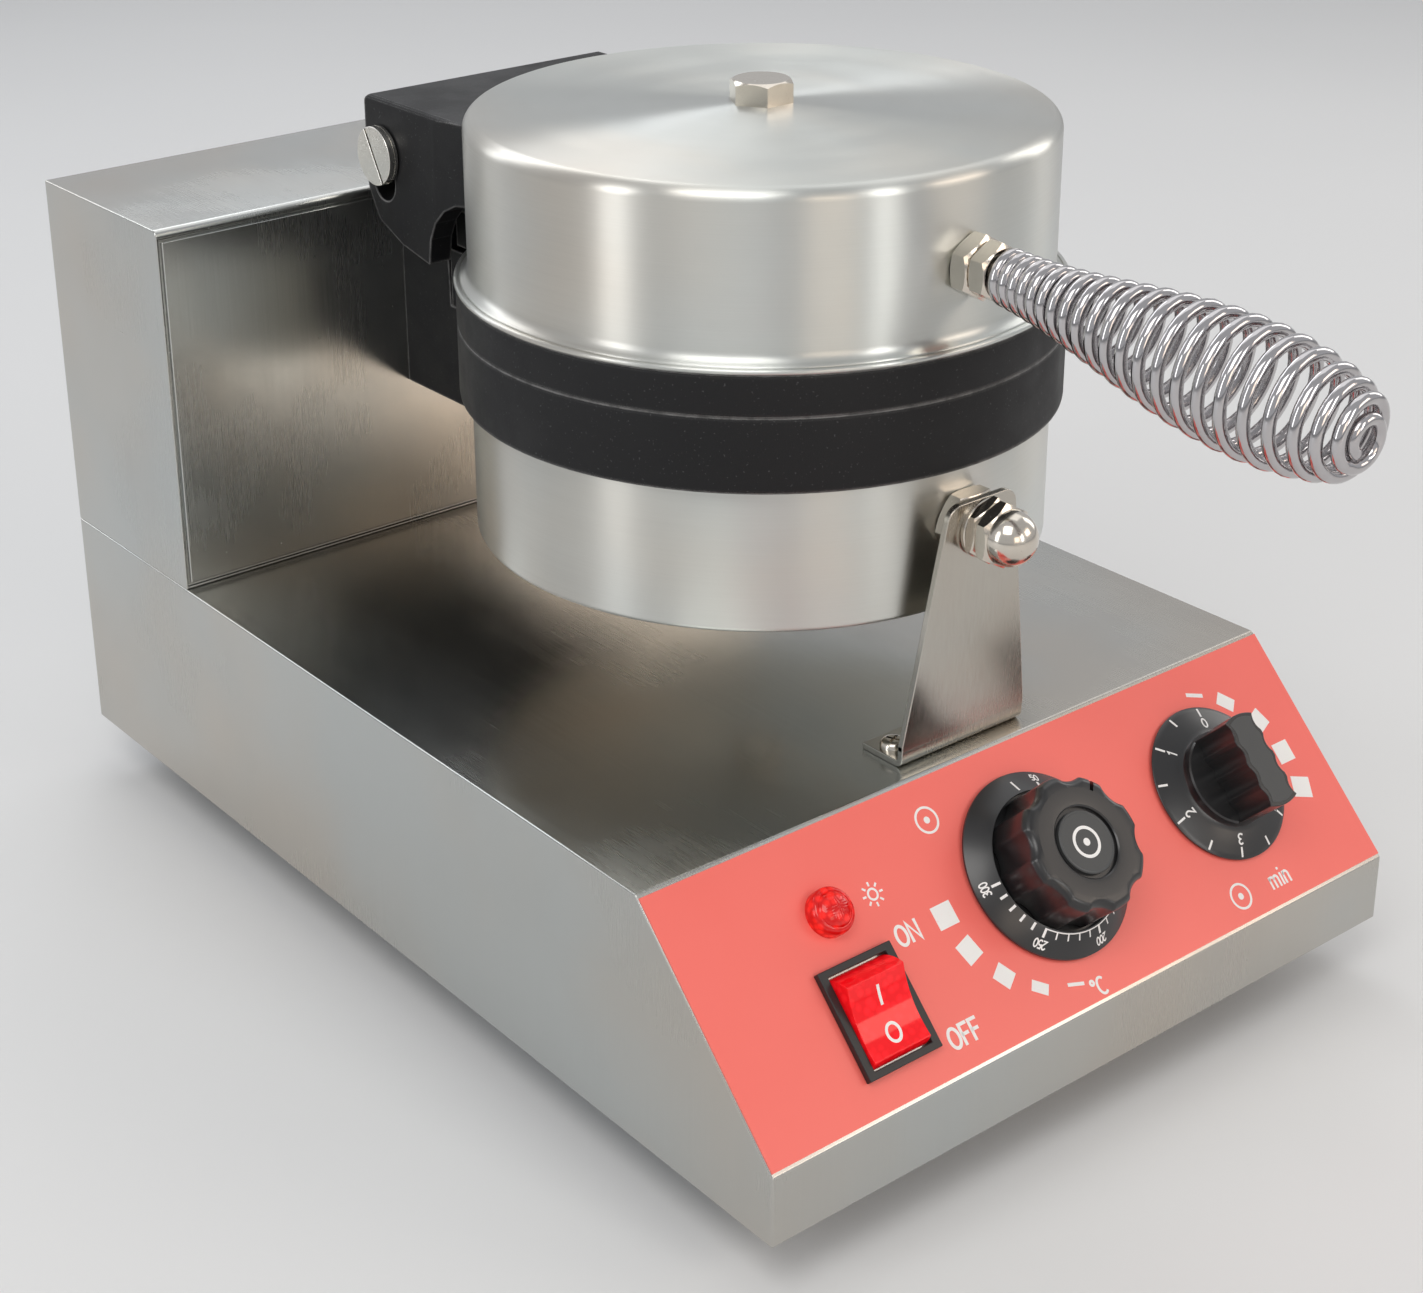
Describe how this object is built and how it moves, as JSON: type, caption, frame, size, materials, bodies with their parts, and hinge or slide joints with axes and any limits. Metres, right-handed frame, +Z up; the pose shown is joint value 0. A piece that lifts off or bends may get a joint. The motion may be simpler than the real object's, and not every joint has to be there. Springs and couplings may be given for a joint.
{
  "type": "waffle cone maker",
  "caption": "Counter-top waffle cone maker: a hinged lid with a coiled handle closes on a round waffle plate above a steel cabinet with a raked control panel.",
  "frame": {"origin": "on the counter under the middle of the machine's overall length and width, handle and cable gland included", "axes": "+X to the right of someone facing the control panel, +Y to the rear, +Z up"},
  "size_m": [0.24, 0.4526, 0.2684],
  "materials": {
    "steel_sheet": "satin brushed sheet",
    "steel_cover": "polished spun sheet",
    "steel_bracket": "satin sheet",
    "zinc_sheet": "zinc plated",
    "zinc_screws": "zinc plated",
    "bright_fasteners": "bright stainless",
    "dark_screws": "blackened steel",
    "turned_steel": "turned",
    "chrome_wire": "chromed spring wire",
    "cast_black": "black non-stick coating on a fine sand casting",
    "panel_overlay": "printed film, semi-gloss",
    "black_plastic": "moulded nylon",
    "black_knob": "moulded phenolic, semi-gloss",
    "grey_plastic": "moulded",
    "red_switch": "clear red moulding",
    "red_lens": "clear red moulding",
    "ceramic": "unglazed ceramic",
    "rubber": "moulded",
    "heater_sheath": "heat-tinted sheath"
  },
  "bodies": {
    "root": {"cabinet_shell": "steel_sheet", "control_overlay": "panel_overlay", "bottom_plate": "zinc_sheet", "bottom_screws": "zinc_screws", "rubber_feet": "rubber", "foot_screws": "zinc_screws", "foot_nuts": "zinc_screws", "tower_shell": "steel_sheet", "tower_back_cover": "steel_sheet", "tower_screws": "zinc_screws", "tower_backing_plate": "zinc_sheet", "lower_hinge_arm": "cast_black", "arm_bolts": "bright_fasteners", "arm_nuts": "bright_fasteners", "hinge_pin": "turned_steel", "hinge_pin_nut": "bright_fasteners", "hinge_spacers": "turned_steel", "lower_plate": "cast_black", "plate_bolts": "bright_fasteners", "lower_heater": "heater_sheath", "lower_cover": "steel_cover", "lower_cover_bolt": "bright_fasteners", "support_bracket": "steel_bracket", "bracket_screws": "zinc_screws", "bracket_stud": "turned_steel", "bracket_nut": "bright_fasteners", "bracket_back_nut": "bright_fasteners", "cap_nut": "bright_fasteners", "switch_body": "black_plastic", "lamp_lens": "red_lens", "lamp_body": "grey_plastic", "thermostat_body": "zinc_sheet", "timer_body": "grey_plastic", "terminal_block": "ceramic", "cable_gland": "black_plastic", "gland_locknut": "black_plastic"},
    "lid": {"upper_plate": "cast_black", "upper_heater": "heater_sheath", "upper_cover": "steel_cover", "top_bolt": "bright_fasteners", "upper_hinge_hood": "cast_black", "hood_screws": "dark_screws", "handle_stud": "turned_steel", "handle_nut": "bright_fasteners", "handle_spring": "chrome_wire"},
    "thermostat_dial": {"temp_shaft": "turned_steel", "temp_knob": "black_knob", "temp_knob_insert": "black_knob"},
    "timer_dial": {"timer_shaft": "turned_steel", "timer_knob": "black_knob"},
    "power_rocker": {"rocker": "red_switch"}
  },
  "joints": [
    {"name": "lid_hinge", "type": "hinge", "parent": "root", "child": "lid", "pos_m": [0, 0.11461, 0.228], "axis": [-1, 0, 0], "range_deg": [0, 95]},
    {"name": "thermostat_turn", "type": "hinge", "parent": "root", "child": "thermostat_dial", "pos_m": [0.0024, -0.1327, 0.06758], "axis": [0, -0.7145, 0.6997], "range_deg": [0, 265]},
    {"name": "timer_turn", "type": "hinge", "parent": "root", "child": "timer_dial", "pos_m": [0.075, -0.1327, 0.06758], "axis": [0, 0.7145, -0.6997], "range_deg": [0, 300]},
    {"name": "power_rock", "type": "hinge", "parent": "root", "child": "power_rocker", "pos_m": [-0.0701, -0.14191, 0.05532], "axis": [-1, 0, 0], "range_deg": [0, 22]}
  ]
}
